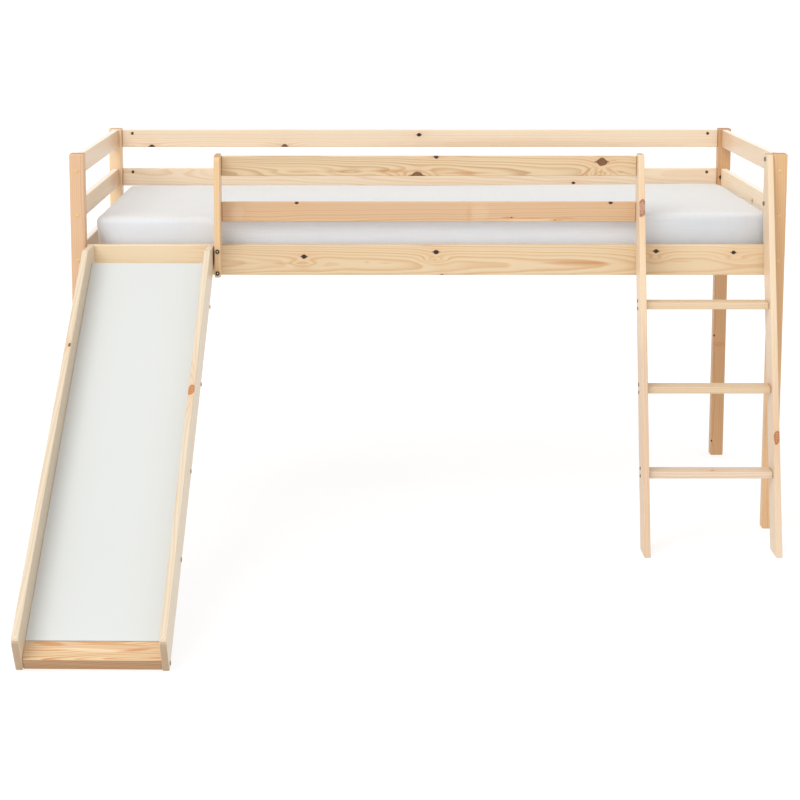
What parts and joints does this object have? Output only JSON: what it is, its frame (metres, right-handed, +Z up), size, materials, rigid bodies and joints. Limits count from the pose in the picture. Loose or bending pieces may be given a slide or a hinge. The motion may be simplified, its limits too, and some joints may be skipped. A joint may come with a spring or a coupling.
{
  "type": "loft bed",
  "caption": "Half-high pine loft bed with one mattress, a front guard, a leaning ladder and a slide with side rails.",
  "frame": {"origin": "on the floor, under the middle of the bounding box of bed, ladder and slide", "axes": "+X along the bed, from the slide's end to the ladder's end; +Y from the slide's foot to the back of the bed; +Z up"},
  "size_m": [2.096, 2.3118, 1.126],
  "materials": {
    "pine": "planed pine, satin, unstained",
    "pink_pine": "planed pine, satin, warmer tone",
    "pale_pine": "planed pine, satin, pale tone",
    "laminate": "smooth off-white laminate, semi-gloss",
    "fabric": "off-white woven cover, matte",
    "black_metal": "blackened steel, satin",
    "brass": "dull yellow passivated steel"
  },
  "bodies": {
    "root": {"end_rail_left_lower": "pine", "end_rail_left_middle": "pine", "end_rail_left_top": "pine", "end_rail_right_lower": "pine", "end_rail_right_middle": "pine", "end_rail_right_top": "pine", "guard_board_lower": "pine", "guard_board_upper": "pine", "guard_upright": "pine", "rail_back_lower": "pine", "rail_back_middle": "pine", "rail_back_top": "pine", "rail_front": "pine", "post_back_left": "pink_pine", "post_back_right": "pink_pine", "post_front_left": "pink_pine", "post_front_right": "pink_pine", "ladder_rail_left": "pale_pine", "ladder_rail_right": "pale_pine", "ledger_back": "pale_pine", "ledger_front": "pale_pine", "plug_left_lower": "pale_pine", "plug_left_middle": "pale_pine", "plug_left_top": "pale_pine", "plug_right_lower": "pale_pine", "plug_right_middle": "pale_pine", "plug_right_top": "pale_pine", "rung_1": "pale_pine", "rung_2": "pale_pine", "rung_3": "pale_pine", "slat_01": "pale_pine", "slat_02": "pale_pine", "slat_03": "pale_pine", "slat_04": "pale_pine", "slat_05": "pale_pine", "slat_06": "pale_pine", "slat_07": "pale_pine", "slat_08": "pale_pine", "slat_09": "pale_pine", "slat_10": "pale_pine", "slat_11": "pale_pine", "slat_12": "pale_pine", "slide_batten_1": "pale_pine", "slide_batten_2": "pale_pine", "slide_batten_3": "pale_pine", "slide_batten_4": "pale_pine", "slide_foot_board": "pale_pine", "slide_rail_left": "pale_pine", "slide_rail_right": "pale_pine", "slide_panel": "laminate", "mattress": "fabric", "guard_bolt_lower": "black_metal", "guard_bolt_upper": "black_metal", "ladder_bolt_lower": "black_metal", "ladder_bolt_upper": "black_metal", "barrel_nut_left_middle": "brass", "barrel_nut_left_top": "brass", "barrel_nut_right_middle": "brass", "barrel_nut_right_top": "brass"}
  },
  "joints": []
}
